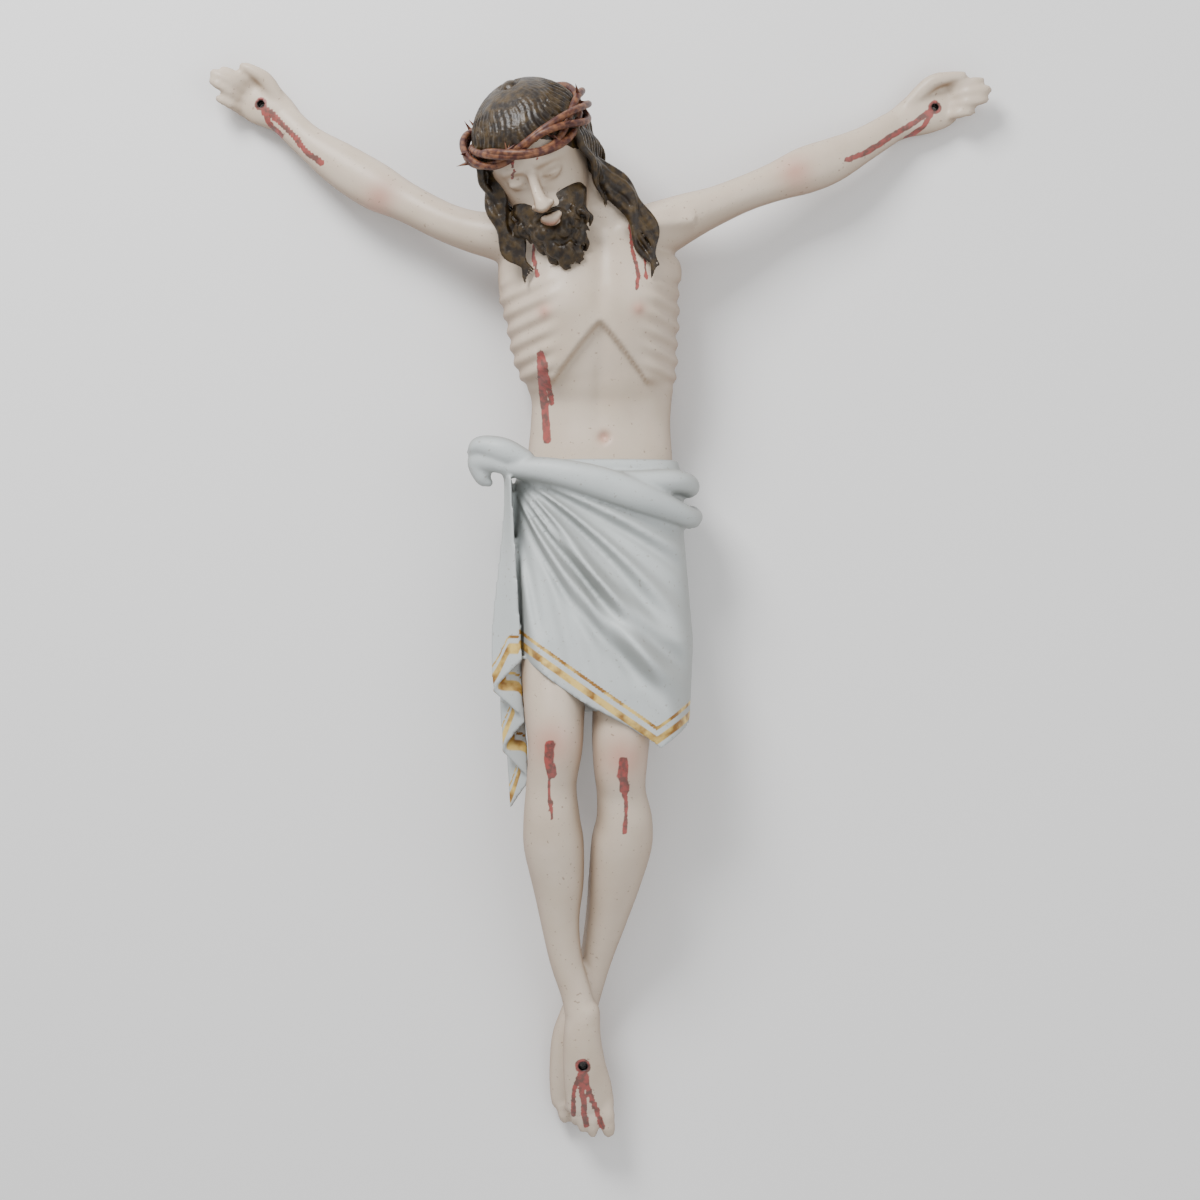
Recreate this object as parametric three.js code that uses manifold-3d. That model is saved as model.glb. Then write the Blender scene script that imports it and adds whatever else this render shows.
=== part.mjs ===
// A carved and painted corpus, the figure from a crucifix, lying on its flattened back.
// Millimetres. X runs to the figure's left hand, Y to its head, and Z up through its chest.
// The plane z = 0 is the one that would seat against a cross. The origin is under the middle of the box.
// Left and right are the figure's own.
import * as THREE from "three";
import { mergeVertices } from "three/addons/utils/BufferGeometryUtils.js";
import Module from "manifold-3d";

const wasm = await Module();
wasm.setup();

// Driving dimensions
const CHEST_DEPTH = 118; // back plane to breastbone
const FEET_NAIL_RADIUS = 4.5;
const HAND_NAIL_RADIUS = 3.5;
const SEAT_GAP = 1.2; // between the hair and the wreath on it
const RIB_STEP = 9; // how far the rib cage stands over the belly

// Limb stations: x, y, z, half width across the limb, half depth towards the viewer
const RIGHT_ARM = [
  [-60, 352, 56, 30, 36], [-98, 364, 58, 25, 31], [-128, 370, 57, 21, 25], [-158, 381, 54, 19.5, 22],
  [-196, 401, 47, 20, 19], [-226, 417, 43, 24, 20], [-262, 440, 36, 22.5, 18], [-296, 465, 28, 17, 13.5],
  [-320, 488, 21, 16, 11.5],
];
const LEFT_ARM = [
  [50, 368, 56, 30, 36], [86, 384, 58, 24, 31], [116, 396, 56, 19.5, 25], [146, 409, 52, 18, 21],
  [176, 421, 47, 19.5, 19], [206, 433, 43, 23.5, 20], [234, 444, 39, 22.5, 18.5], [268, 462, 31, 17.5, 14],
  [298, 481, 22, 15.5, 11.5],
];
const RIGHT_LEG = [
  [-42, 60, 56, 42, 48], [-45, -60, 88, 36, 42], [-45, -110, 104, 30, 36], [-44, -145, 111, 27, 31],
  [-48, -181, 103, 25, 27], [-48, -215, 95, 28, 31], [-46, -243, 87, 30, 32], [-42, -281, 77, 26, 27],
  [-40, -321, 68, 19.5, 21], [-34, -361, 61, 16.5, 17], [-24, -395, 56, 15.5, 16.5], [-17, -424, 55, 17, 19],
];
const LEFT_LEG = [
  [42, 60, 56, 42, 48], [30, -60, 82, 36, 42], [22, -120, 98, 30, 36], [20, -160, 103, 27, 31],
  [21, -190, 94, 24.5, 27], [24, -218, 85, 28, 31], [21.5, -243, 76, 30.5, 32], [14.5, -281, 63, 26.5, 27],
  [6, -321, 49, 21, 21], [-4, -361, 37, 16.5, 17], [-14, -398, 28, 15.5, 16], [-24, -428, 21, 18, 19],
];
const TORSO = [
  [0, 20, 52, 72, 54], [0, 90, 50, 76, 53], [0, 140, 45, 73, 47], [0.5, 175, 42, 70.5, 44],
  [1.5, 203, 43, 71, 45], [0, 230, 48, 78, 51], [-5, 258, 53, 84, 57], [-8, 290, 55, 87.5, 60],
  [-11, 318, 55, 91, 58], [-9, 342, 55, 92, 53], [-5, 364, 56, 84, 44], [1, 384, 58, 58, 35], [2, 398, 60, 36, 28],
];
const NECK = [[6, 366, 62, 31, 31], [-8, 396, 76, 27, 28], [-30, 424, 92, 27, 28], [-48, 446, 102, 28, 30]];

// Hands: the palm's stations, then each finger as base, tip, radius and how far it curls up
const RIGHT_PALM = [[-310, 479, 20, 14, 11], [-326, 494, 17, 19, 13], [-342, 505, 14, 23, 12.5], [-357, 512, 13, 21, 9]];
const RIGHT_FINGERS = [
  [[-350, 522, 14], [-385, 539, 24], 5.2, 8], [[-356, 515, 14], [-395, 536, 28], 5.3, 9],
  [[-361, 506, 14], [-396, 528, 28], 5.2, 9], [[-364, 497, 14], [-389, 510, 24], 4.7, 8],
];
const RIGHT_THUMB = [[-322, 500, 18, 8, 8], [-338, 526, 24, 8, 8], [-352, 536, 27, 6.5, 6.5], [-362, 541, 27, 5, 5]];
const LEFT_PALM = [[288, 475, 21, 14, 11], [306, 485, 18, 17, 13], [326, 495, 15, 22.5, 13], [346, 503, 13, 23, 10], [356, 506, 13, 20, 8]];
const LEFT_FINGERS = [
  [[350, 520, 14], [390, 527, 24], 5.2, 8], [[353, 511, 14], [397, 518, 26], 5.3, 9],
  [[354, 501, 14], [394, 508, 26], 5.2, 9], [[352, 491, 14], [380, 496, 23], 4.7, 8],
];
const LEFT_THUMB = [[308, 496, 19, 8, 8], [334, 523, 25, 8, 8], [352, 529, 28, 6.5, 6.5], [368, 531, 29, 5, 5]];

// Feet: the right one lies over the left one, both flat against the cross
const RIGHT_FOOT = [[-17, -412, 56, 17, 18], [-18, -440, 53, 19, 19], [-16, -467, 48, 21.5, 17], [-12, -492, 42, 24, 13.5], [-9, -512, 38, 24, 9.5]];
const LEFT_FOOT = [[-22, -416, 24, 17, 18], [-29, -445, 20, 20, 19], [-30, -475, 17, 21.5, 17], [-30, -500, 14, 21, 13], [-29, -512, 12, 20, 10]];
const RIGHT_TOES = [
  [[6, -504, 39], [9, -541, 34], 7.6, 3], [[-6, -508, 38], [-7.5, -543, 30], 5.6, 5], [[-14.5, -506, 38], [-18, -538, 30], 5.2, 5],
  [[-22, -502, 37], [-26, -530, 29], 5, 5], [[-28, -496, 36], [-33, -517, 28], 4.8, 4],
];
const LEFT_TOES = [[[-39, -500, 14], [-35, -530, 11], 7.4, 3], [[-27, -506, 13], [-24, -534, 10], 5.4, 4]];

// Nail holes, drilled straight through to the cross
const NAILS = [[-344, 503, HAND_NAIL_RADIUS], [340, 500, HAND_NAIL_RADIUS], [-17, -467, FEET_NAIL_RADIUS]];

// The head hangs forward and to the figure's right. Its own frame: x to its left, y up, z forward
const HEAD_CENTRE = new THREE.Vector3(-64, 442, 112);
const HEAD_ROLL = 24, HEAD_PITCH = 22, HEAD_YAW = 15; // degrees
const FACE = [
  [0, -86, 35, 10, 9], [0, -80, 30, 19, 19], [0, -66, 19, 30, 33], [0, -48, 9, 39, 44], [0, -28, 2, 45, 51],
  [0, -8, -3, 49, 59], [0, 14, -4, 50, 60], [0, 36, -4, 44, 52], [0, 52, -6, 29, 34], [0, 60, -6, 12, 15],
];
const rad = THREE.MathUtils.degToRad;
const headFrame = new THREE.Matrix4()
  .makeRotationFromEuler(new THREE.Euler(rad(HEAD_PITCH), rad(-HEAD_YAW), rad(HEAD_ROLL), "ZXY"))
  .setPosition(HEAD_CENTRE);

const gauss = (d, width) => Math.exp(-(d * d) / (width * width));
const step = THREE.MathUtils.smoothstep;

// A closed skin over rings of equal length, capped at both ends with a fan to the ring's middle
function skin(rings, closed = false) {
  const n = rings[0].length;
  const position = rings.flat().flatMap((p) => p.toArray());
  const index = [];
  for (let r = 0; r < rings.length - (closed ? 0 : 1); r++) {
    const above = ((r + 1) % rings.length) * n;
    for (let i = 0; i < n; i++) {
      const j = (i + 1) % n;
      index.push(r * n + i, r * n + j, above + j, r * n + i, above + j, above + i);
    }
  }
  if (!closed) {
    [rings[0], rings.at(-1)].forEach((ring, end) => {
      const middle = ring.reduce((sum, p) => sum.add(p), new THREE.Vector3()).divideScalar(n);
      const centre = position.length / 3, first = end ? (rings.length - 1) * n : 0;
      position.push(...middle.toArray());
      for (let i = 0; i < n; i++) {
        const a = first + i, b = first + ((i + 1) % n);
        index.push(centre, ...(end ? [a, b] : [b, a]));
      }
    });
  }
  return new THREE.BufferGeometry()
    .setAttribute("position", new THREE.Float32BufferAttribute(position, 3))
    .setIndex(index);
}

function solid(geometry) {
  const bare = geometry.clone();
  bare.deleteAttribute("normal");
  bare.deleteAttribute("uv");
  const merged = mergeVertices(bare, 1e-4);
  return new wasm.Manifold(
    new wasm.Mesh({
      numProp: 3,
      vertProperties: merged.attributes.position.array,
      triVerts: Uint32Array.from(merged.index.array),
    }),
  );
}

// A rounded limb through its stations. Its section is an ellipse with its width in the picture's plane
function limb(stations, { sides = 12, steps = stations.length * 2, round = 0.7, shape = null } = {}) {
  const path = new THREE.CatmullRomCurve3(stations.map(([x, y, z]) => new THREE.Vector3(x, y, z)));
  const sizes = new THREE.CatmullRomCurve3(stations.map((s) => new THREE.Vector3(s[3], s[4], 0)));
  const rings = [];
  const addRing = (t, push, scale) => {
    const tangent = path.getTangent(t), centre = path.getPoint(t).addScaledVector(tangent, push);
    const across = new THREE.Vector3(0, 0, 1).cross(tangent).normalize();
    const up = tangent.clone().cross(across), size = sizes.getPoint(t);
    rings.push(Array.from({ length: sides }, (_, i) => {
      const a = (i / sides) * 2 * Math.PI;
      const p = centre.clone()
        .addScaledVector(across, size.x * scale * Math.cos(a))
        .addScaledVector(up, size.y * scale * Math.sin(a));
      return shape ? shape(p, a, t) : p;
    }));
  };
  const first = sizes.getPoint(0), last = sizes.getPoint(1);
  addRing(0, -round * Math.min(first.x, first.y), 0.5);
  for (let i = 0; i <= steps; i++) addRing(i / steps, 0, 1);
  addRing(1, round * Math.min(last.x, last.y), 0.5);
  return solid(skin(rings));
}

function ball([x, y, z], [rx, ry, rz], across = 10, turn = 0) {
  return solid(new THREE.SphereGeometry(1, across, Math.max(5, across - 3))
    .scale(rx, ry, rz).rotateZ(rad(turn)).translate(x, y, z));
}

const join = (solids) => solids.reduce((all, s) => all.add(s));

// A finger or toe: straight from base to tip in plan, and lifted in the middle
function digit([base, tip, radius, lift]) {
  const at = (t, r) => base.map((v, i) => THREE.MathUtils.lerp(v, tip[i], t) + (i === 2 ? lift * Math.sin(Math.PI * t) : 0))
    .concat(r, r);
  return limb([at(0, radius), at(0.45, radius * 1.02), at(0.75, radius * 0.95), at(0.93, radius * 0.8)], { sides: 5, steps: 2 });
}

const hand = (palm, fingers, thumb) =>
  join([limb(palm, { sides: 7, steps: 3 }), limb(thumb, { sides: 5, steps: 3 }), ...fingers.map(digit)]);

// The chest and belly: the arch of the ribs, the breast muscles, the ribs at the sides and the navel
const ARCH_TOP = 274, ARCH_SPREAD = 46, ARCH_FALL = 56;
function torsoRelief(x, y) {
  const side = Math.abs(x);
  const archEdge = ARCH_TOP - ARCH_FALL * Math.min(1, side / ARCH_SPREAD) ** 1.1;
  const cage = RIB_STEP * step(y, archEdge - 6, archEdge + 5) * (1 - step(side, 50, 82));
  const breast = 5 * gauss(Math.hypot(side - 42, (y - 296) * 1.2), 30);
  const breastbone = -3 * gauss(x, 8) * step(y, 270, 300);
  const muscles = 3 * gauss(side - 20, 15) * gauss(y - 195, 34) - 2 * gauss(x, 6) * gauss(y - 215, 45);
  const navel = -6 * gauss(Math.hypot(x - 4, y - 162), 5);
  const collar = 4 * gauss(y - 366 - side * 0.12, 7) * step(side, 12, 24) * (1 - step(side, 70, 90));
  return cage + breast + breastbone + muscles + navel + collar;
}

function torso() {
  return limb(TORSO, {
    sides: 18, steps: 15,
    shape(p, a) {
      const front = Math.max(0, Math.sin(a));
      p.z += torsoRelief(p.x, p.y) * front ** 0.6;
      const ribs = 2.2 * Math.cos(((p.y - 250) / 17) * 2 * Math.PI) * step(p.y, 205, 225) * (1 - step(p.y, 300, 320));
      p.x += Math.sign(Math.cos(a)) * ribs * gauss(a > Math.PI ? 1 : Math.abs(Math.cos(a)) - 0.85, 0.25);
      return p;
    },
  });
}

function head() {
  const skull = limb(FACE, {
    sides: 12, steps: 9,
    shape(p, a) {
      const front = step(p.z, 20, 50);
      const socket = -6 * gauss(Math.hypot(Math.abs(p.x) - 17, (p.y + 12) * 1.3), 12);
      const brow = 2.5 * gauss(p.y - 2, 7) * (1 - step(Math.abs(p.x), 26, 36));
      const cheek = 2.5 * gauss(Math.hypot(Math.abs(p.x) - 28, p.y + 32), 13);
      p.z += front * (socket + brow + cheek);
      return p;
    },
  });
  const nose = limb([[0, 0, 52, 5, 6], [0, -14, 57, 5, 7], [0, -30, 63, 7, 8], [0, -39, 66, 9, 7]], { sides: 5, steps: 3 });
  const lids = [-17, 17].map((x) => ball([x, -12, 45], [11, 7, 8.5], 5));
  const lips = [[-53.5, 3], [-59, 3.6]].map(([y, r]) => ball([0, y, 53], [12.5, r, 5.5], 5));
  return join([skull, nose, ...lids, ...lips]);
}

// Hair: a cap down to the hairline, then locks that fall on both shoulders
const CAP = { centre: [0, 13, -9], size: [56, 56, 64] };
function wavyLock(points, width, swing, phase) {
  const line = new THREE.CatmullRomCurve3(points.map((p) => new THREE.Vector3(...p)));
  const count = 8, waves = 2.2;
  return limb(Array.from({ length: count }, (_, i) => {
    const t = i / (count - 1), p = line.getPoint(t), along = line.getTangent(t);
    const swell = swing * step(t, 0.2, 0.7) * Math.sin(2 * Math.PI * waves * t + phase);
    const r = width * (1 - 0.72 * t * t);
    return [p.x - along.y * swell, p.y + along.x * swell, p.z, r, r * 0.8];
  }), { sides: 4, steps: 6, round: 1.2 });
}

const LOCK_FAN = [-1, 1];
function hair() {
  const left = LOCK_FAN.map((k) => wavyLock(
    [[-30 + 6 * k, 452 - 4 * k, 104], [2 + 8 * k, 424, 108], [28 + 9 * k, 396, 106], [44 + 8 * k, 360, 106], [53 + 3 * k, 318 + 9 * Math.abs(k), 112]],
    12, 4.5, k * 1.4));
  const right = LOCK_FAN.map((k) => wavyLock(
    [[-112, 446, 112 + 7 * k], [-105 + 4 * k, 412, 116 + 5 * k], [-96 + 7 * k, 374, 114], [-84 + 7 * k, 344, 112], [-71 + 4 * k, 313 + 7 * Math.abs(k), 111]],
    11, 4, k * 1.4 + 1));
  return join([...left, ...right]);
}

const BEARD = [
  [0, -40, 30, 41, 26], [0, -56, 32, 36, 29], [0, -72, 34, 29, 27], [0, -86, 38, 20, 20], [0, -97, 42, 10, 11],
];
function beard() {
  const mass = limb(BEARD, { sides: 9, steps: 3 });
  const mouth = ball([0, -54, 66], [14, 9, 14], 10);
  const moustache = [-1, 1].map((s) => limb([[0, -46, 60, 4, 4], [s * 12, -51, 57, 4, 4], [s * 20, -62, 50, 3, 3]], { sides: 4, steps: 2 }));
  return join([mass.subtract(mouth), ...moustache]);
}

// Loincloth. The drape's outline at each height: right edge, left edge, front
const KNOT = new THREE.Vector3(-92, 128, 92);
const DRAPE = [
  [140, -78, 78, 100], [118, -86, 84, 106], [70, -86, 84, 112], [20, -85, 88, 124], [-40, -83, 93, 136], [-90, -80, 91, 141], [-146, -76, 88, 141],
];
const DRAPE_SIDES = 32, DRAPE_ROWS = 9;
const HEM_RIGHT = [-84, -49], HEM_LOW = [56, -147], HEM_LEFT = [91, -122];
const FOLDS = [ // direction from the knot in degrees, height, width in degrees, bend per 100 mm
  [-84, 7, 4, 2], [-69, 8, 4.5, 7], [-57, 7, 4, 5], [-44, 8, 5, -4], [-30, 7, 4, -5], [-19, 5, 4, -3],
];

function drapeAt(y) {
  const below = DRAPE.findIndex((row) => row[0] <= y);
  const [low, high] = [DRAPE[Math.max(1, below < 0 ? DRAPE.length - 1 : below)], DRAPE[Math.max(0, (below < 0 ? DRAPE.length - 1 : below) - 1)]];
  const t = THREE.MathUtils.clamp((y - low[0]) / (high[0] - low[0]), 0, 1);
  return low.map((v, i) => THREE.MathUtils.lerp(v, high[i], t));
}

function foldRelief(x, y) {
  const dx = x - KNOT.x, dy = y - KNOT.y, far = Math.hypot(dx, dy);
  const angle = THREE.MathUtils.radToDeg(Math.atan2(dy, dx));
  const reach = step(far, 10, 60);
  return FOLDS.reduce((sum, [direction, height, width, bend]) => {
    const off = angle - direction - (bend * far) / 100;
    return sum + height * reach * gauss(off, width);
  }, 0);
}

function hemAt(x) {
  const [from, to] = x < HEM_LOW[0] ? [HEM_RIGHT, HEM_LOW] : [HEM_LOW, HEM_LEFT];
  return THREE.MathUtils.mapLinear(x, from[0], to[0], from[1], to[1]);
}

function drape() {
  const rings = [];
  const BACK_HEM = -112, TOP = 140;
  for (let row = 0; row <= DRAPE_ROWS; row++) {
    rings.push(Array.from({ length: DRAPE_SIDES }, (_, i) => {
      const a = (i / DRAPE_SIDES) * 2 * Math.PI, c = Math.cos(a), s = Math.sin(a);
      const frontness = step(s, -0.25, 0.25);
      const [, hemRight, hemLeft] = drapeAt(-100);
      const hemX = (hemLeft + hemRight) / 2 + (c * (hemLeft - hemRight)) / 2;
      const hem = THREE.MathUtils.lerp(BACK_HEM, hemAt(hemX), frontness);
      const y = THREE.MathUtils.lerp(TOP, hem, row / DRAPE_ROWS);
      const [, right, left, front] = drapeAt(y);
      const x = (left + right) / 2 + (Math.sign(c) * Math.abs(c) ** 0.8 * (left - right)) / 2;
      const half = (front + 3) / 2;
      const z = half - 3 + Math.sign(s) * Math.abs(s) ** 0.8 * half;
      return new THREE.Vector3(x, y, z + foldRelief(x, y) * Math.max(0, s) ** 0.5);
    }));
  }
  return solid(skin(rings));
}

// The rolled band round the hips, in two turns that cross at the front, and the bow at the right hip
const BAND_OVER = [
  [-92, 132, 92, 10, 14], [-50, 128, 108, 13, 13], [0, 116, 114, 16, 13], [45, 100, 110, 15, 13], [84, 84, 84, 11, 14], [88, 84, 50, 10, 12], [60, 90, 18, 12, 10],
];
const BAND_UNDER = [
  [-80, 130, 90, 10, 14], [-20, 116, 102, 13, 11], [30, 116, 106, 12, 11], [72, 118, 92, 12, 14], [88, 114, 60, 11, 13], [66, 112, 20, 12, 10],
];
const BOW = [
  [[-74, 138, 98, 11, 11], [-96, 148, 100, 13, 13], [-118, 153, 92, 10, 13], [-126, 148, 84, 6, 9]],
  [[-94, 132, 98, 8, 10], [-106, 138, 94, 12, 12], [-119, 138, 86, 13, 13], [-116, 122, 84, 9, 10], [-110, 116, 84, 4, 6]],
];
const band = () => join([
  limb(BAND_OVER, { sides: 5, steps: 7 }),
  limb(BAND_UNDER, { sides: 5, steps: 6 }),
  ...BOW.map((lobe) => limb(lobe, { sides: 5, steps: 3 })),
]);

// The cloth's loose end hangs from the bow in flat pleats, and its slanting hem shows as a zigzag
const PLEATS = 5; // turns of the cloth from front to back
const CASCADE_TOP = 122, CASCADE_SHORT = 182, CASCADE_LONG = 332;
function cascade() {
  const perPleat = 2, count = PLEATS * perPleat, thick = 5;
  const outline = (row) => {
    const faceRow = [], backRow = [];
    for (let i = 0; i <= count; i++) {
      const u = i / count, turn = (u * PLEATS) % 2, out = turn > 1 ? 2 - turn : turn;
      const length = THREE.MathUtils.lerp(CASCADE_SHORT, CASCADE_LONG, u);
      const fall = row * length, y = CASCADE_TOP - fall;
      const spread = THREE.MathUtils.lerp(9, 34, step(fall, 0, 190));
      const left = -94 + 0.085 * fall;
      const x = left - out * spread * (1 - 0.35 * u);
      const z = 104 - u * 46 + 3 * Math.cos(turn * Math.PI);
      faceRow.push(new THREE.Vector3(x, y, z + thick / 2));
      backRow.push(new THREE.Vector3(x, y, z - thick / 2));
    }
    return [...faceRow, ...backRow.reverse()];
  };
  return solid(skin([0, 0.15, 0.5, 1].map(outline)));
}

function wreathStrand(k, strands) {
  const count = 26, sides = 4, turns = 2 + (k % 2), phase = (k * 2 * Math.PI) / strands;
  const at = (a) => new THREE.Vector3(
    (61 + 4.5 * Math.cos(turns * a + phase)) * Math.cos(a),
    25 + 9 * Math.sin(turns * a + phase) + 3 * Math.sin(a + phase) - 4 * Math.sin(a),
    -6 + (67 + 4.5 * Math.cos(turns * a + phase)) * Math.sin(a));
  const rings = Array.from({ length: count }, (_, i) => {
    const a = (i / count) * 2 * Math.PI, centre = at(a), tangent = at(a + 0.01).sub(centre).normalize();
    const out = new THREE.Vector3(Math.cos(a), 0, Math.sin(a));
    const side = tangent.clone().cross(out).normalize(), up = side.clone().cross(tangent);
    const r = 3.4 + 0.5 * Math.sin(5 * a + k);
    return Array.from({ length: sides }, (_, j) => {
      const b = (j / sides) * 2 * Math.PI;
      return centre.clone().addScaledVector(side, -r * Math.cos(b)).addScaledVector(up, r * Math.sin(b));
    });
  });
  return { body: solid(skin(rings, true)), at };
}

function thorn(at, a, k) {
  const base = at(a), length = 13 + 6 * Math.abs(Math.sin(3.7 * k));
  const lean = new THREE.Vector3(Math.cos(a) + 0.5 * Math.sin(2.3 * k), Math.sin(1.7 * k), Math.sin(a) + 0.5 * Math.cos(2.9 * k));
  const cone = new THREE.ConeGeometry(2.6, length, 4, 1).translate(0, length / 2 - 1, 0);
  cone.applyQuaternion(new THREE.Quaternion().setFromUnitVectors(new THREE.Vector3(0, 1, 0), lean.normalize()));
  return solid(cone.translate(base.x, base.y, base.z));
}

function wreath() {
  const STRANDS = 4, THORNS = 22;
  const strands = Array.from({ length: STRANDS }, (_, k) => wreathStrand(k, STRANDS));
  const thorns = Array.from({ length: THORNS }, (_, k) =>
    thorn(strands[k % STRANDS].at, (k / THORNS) * 2 * Math.PI, k));
  return join([...strands.map((s) => s.body), ...thorns]);
}

const toRoom = (local) => local.transform(headFrame.elements);
const behindBack = () => solid(new THREE.BoxGeometry(900, 1200, 100).translate(0, 0, -50));
const nailHole = ([x, y, r]) => solid(new THREE.CylinderGeometry(r, r, 300, 10).rotateX(Math.PI / 2).translate(x, y, 0));

function corpus() {
  const cap = ball(CAP.centre, CAP.size, 10);
  const body = join([
    torso(), limb(NECK, { sides: 9, steps: 3 }), toRoom(join([head(), cap, beard()])), hair(),
    limb(RIGHT_ARM, { sides: 8, steps: 8 }), limb(LEFT_ARM, { sides: 8, steps: 8 }),
    hand(RIGHT_PALM, RIGHT_FINGERS, RIGHT_THUMB), hand(LEFT_PALM, LEFT_FINGERS, LEFT_THUMB),
    limb(RIGHT_LEG, { sides: 9, steps: 11 }), limb(LEFT_LEG, { sides: 9, steps: 11 }),
    ball([-46, -140, 130], [15, 18, 12], 6), ball([19, -155, 122], [15, 18, 12], 6),
    limb(RIGHT_FOOT, { sides: 7, steps: 3 }), limb(LEFT_FOOT, { sides: 7, steps: 3 }),
    ...RIGHT_TOES.map(digit), ...LEFT_TOES.map(digit),
    drape(), band(), cascade(),
  ]);
  return NAILS.map(nailHole).reduce((rest, hole) => rest.subtract(hole), body.subtract(behindBack()));
}

// A join leaves edges too short to matter where two skins cross. Each one shrinks to a point,
// unless that would pinch the skin: then its two ends would share a neighbour off the edge's own faces
const SHORT_EDGE = 0.9;
function withoutShortEdges(position, faces) {
  const point = (v) => new THREE.Vector3().fromArray(position, v * 3);
  let live = faces;
  for (let shrunk = true; shrunk; ) {
    shrunk = false;
    const around = new Map();
    live.forEach((face) => face.forEach((v) => around.set(v, (around.get(v) ?? []).concat([face]))));
    const touched = new Set(), target = new Map();
    const neighbours = (v) => new Set(around.get(v).flat());
    for (const face of live) {
      for (let i = 0; i < 3; i++) {
        const a = face[i], b = face[(i + 1) % 3];
        if (touched.has(a) || touched.has(b) || point(a).distanceTo(point(b)) > SHORT_EDGE) continue;
        const ringA = neighbours(a), ringB = neighbours(b);
        const shared = [...ringA].filter((v) => ringB.has(v) && v !== a && v !== b);
        if (shared.length !== 2) continue;
        [...ringA, ...ringB].forEach((v) => touched.add(v));
        target.set(b, a);
        shrunk = true;
      }
    }
    live = live.map((face) => face.map((v) => target.get(v) ?? v)).filter(([a, b, c]) => a !== b && b !== c && c !== a);
  }
  return live;
}

function meshOf(name, shape, colour, roughness) {
  const made = shape.getMesh();
  const corners = Array.from(made.triVerts);
  const faces = Array.from({ length: corners.length / 3 }, (_, f) => corners.slice(3 * f, 3 * f + 3));
  const kept = withoutShortEdges(made.vertProperties, faces).flat();
  const used = [...new Set(kept)], place = new Map(used.map((v, i) => [v, i]));
  const position = used.flatMap((v) => Array.from(made.vertProperties.slice(3 * v, 3 * v + 3)));
  const geometry = new THREE.BufferGeometry()
    .setAttribute("position", new THREE.Float32BufferAttribute(position, 3))
    .setIndex(kept.map((v) => place.get(v)));
  geometry.computeVertexNormals();
  const mesh = new THREE.Mesh(geometry, new THREE.MeshStandardMaterial({ color: colour, roughness, metalness: 0 }));
  mesh.name = name;
  return mesh;
}

// The largest body of a join, without the specks that the overlaps close in
const largest = (shape) => shape.decompose().reduce((most, s) => (s.volume() > most.volume() ? s : most));

const figure = largest(corpus());

// The wreath is cut clear of the figure on all sides
const nudges = [-SEAT_GAP, SEAT_GAP].flatMap((d) => [[d, 0, 0], [0, d, 0], [0, 0, d]]);
const seat = nudges.map((nudge) => figure.translate(nudge));
const crown = largest(seat.reduce((rest, moved) => rest.subtract(moved), toRoom(wreath())));
const group = new THREE.Group();
group.add(meshOf("corpus", figure, 0xd9c4ae, 0.5), meshOf("crown_of_thorns", crown, 0x4a2a1c, 0.7));

export default group;
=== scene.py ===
# %% [markdown]
# A carved and painted corpus from a crucifix, lying on its flattened back and seen from straight above. A
# carved body has no straight or turned parts, so limbs and locks are lofted as smooth skins where the CAD's
# solids lie, and no skin may pass the CAD's box. Skins of one finish are melted together and then painted.
# The carved shapes are in millimetres, and become metres when a mesh is made.

# %% The frame
import math
import bpy
import numpy as np
from mathutils import Matrix, Vector


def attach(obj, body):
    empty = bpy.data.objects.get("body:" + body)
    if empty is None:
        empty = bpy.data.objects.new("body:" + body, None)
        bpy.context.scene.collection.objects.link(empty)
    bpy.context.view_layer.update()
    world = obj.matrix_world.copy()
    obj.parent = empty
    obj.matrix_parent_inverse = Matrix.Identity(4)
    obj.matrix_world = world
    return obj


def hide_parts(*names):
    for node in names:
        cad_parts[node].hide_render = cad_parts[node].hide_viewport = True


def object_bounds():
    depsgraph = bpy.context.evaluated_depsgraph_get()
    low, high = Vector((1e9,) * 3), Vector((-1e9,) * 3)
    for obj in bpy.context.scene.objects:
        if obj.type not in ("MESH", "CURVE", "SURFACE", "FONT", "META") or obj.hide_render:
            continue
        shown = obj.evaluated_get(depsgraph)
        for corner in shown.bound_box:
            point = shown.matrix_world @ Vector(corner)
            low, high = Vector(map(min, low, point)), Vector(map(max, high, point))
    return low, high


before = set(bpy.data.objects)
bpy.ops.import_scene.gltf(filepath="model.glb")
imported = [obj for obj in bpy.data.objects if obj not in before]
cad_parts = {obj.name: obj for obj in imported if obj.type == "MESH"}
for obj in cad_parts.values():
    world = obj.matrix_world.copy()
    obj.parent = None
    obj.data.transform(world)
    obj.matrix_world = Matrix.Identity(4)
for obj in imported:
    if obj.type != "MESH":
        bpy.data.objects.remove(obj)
cad_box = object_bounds()
MM = 0.001
rng = np.random.default_rng(7)
print("nodes", sorted(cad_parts))
print("CAD box", [tuple(round(v, 4) for v in corner) for corner in cad_box])

# %% [markdown]
# The photograph faces the figure squarely. The figure lies down here, so the camera looks straight down on
# it. It stands far off with a long lens, so that the raised knees and head are drawn hardly larger than the
# rest.

# %% Camera
CAMERA_HEIGHT = 3.2
VIEW_WIDTH = 1.2
MID_DEPTH = 0.07
camera_data = bpy.data.cameras.new("camera")
camera_data.lens = camera_data.sensor_width * (CAMERA_HEIGHT - MID_DEPTH) / VIEW_WIDTH
camera = bpy.data.objects.new("camera", camera_data)
camera.location = (0, 0, CAMERA_HEIGHT)
bpy.context.scene.collection.objects.link(camera)
bpy.context.scene.camera = camera
print("lens", round(camera_data.lens, 1))

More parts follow.
